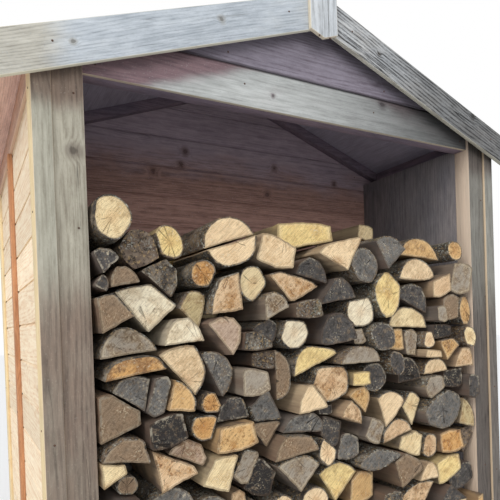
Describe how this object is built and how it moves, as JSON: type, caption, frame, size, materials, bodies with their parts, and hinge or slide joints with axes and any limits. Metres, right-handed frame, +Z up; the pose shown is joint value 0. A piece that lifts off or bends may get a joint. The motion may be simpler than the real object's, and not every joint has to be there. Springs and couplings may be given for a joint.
{
  "type": "log store",
  "caption": "Timber log store with an apex roof: an open front bay filled with stacked split firewood, a closed rear half, shiplap walls and a finial at each gable.",
  "frame": {"origin": "middle of the footprint, on the ground", "axes": "+X along the front to the right, +Y from the open front to the rear wall, +Z up"},
  "size_m": [1.85, 1.392, 2.1773],
  "materials": {
    "weathered_board": "weathered grey, rough sawn grain",
    "weathered_post": "weathered grey-brown, matt",
    "outer_cladding": "stained pale brown, matt",
    "inner_cladding": "stained red-brown, matt",
    "gable_cladding": "weathered over brown stain",
    "lining_board": "dark, dry, vertical grain",
    "roof_board": "stained brown, matt",
    "roof_felt": "mineral felt, matt",
    "frame_timber": "sawn, stained brown",
    "firewood": "split and sawn, dry"
  },
  "bodies": {
    "root": {"bargeboard_front_left": "weathered_board", "bargeboard_front_right": "weathered_board", "bargeboard_rear_left": "weathered_board", "bargeboard_rear_right": "weathered_board", "eaves_rails": "frame_timber", "eaves_trims": "weathered_post", "finials": "weathered_board", "floor_bearers": "frame_timber", "floor_boards": "frame_timber", "front_post_left": "weathered_post", "front_post_right": "weathered_post", "front_rafters": "frame_timber", "front_trims": "weathered_post", "gable_board_lower": "gable_cladding", "gable_board_upper": "gable_cladding", "joint_covers": "weathered_post", "joint_posts": "frame_timber", "left_wall_front": "outer_cladding", "left_wall_rear": "outer_cladding", "lining_left": "lining_board", "lining_right": "lining_board", "lintel_rail": "frame_timber", "log_course_01": "firewood", "log_course_02": "firewood", "log_course_03": "firewood", "log_course_04": "firewood", "log_course_05": "firewood", "partition_rafters": "frame_timber", "partition_wall": "inner_cladding", "rear_logs_lower": "firewood", "rear_logs_upper": "firewood", "rear_posts": "frame_timber", "rear_rafters": "frame_timber", "rear_trims": "weathered_post", "rear_wall": "outer_cladding", "ridge_beam": "frame_timber", "right_wall_front": "outer_cladding", "right_wall_rear": "outer_cladding", "roof_boards_left": "roof_board", "roof_boards_right": "roof_board", "roof_felt": "roof_felt", "side_trims": "weathered_post"}
  },
  "joints": []
}
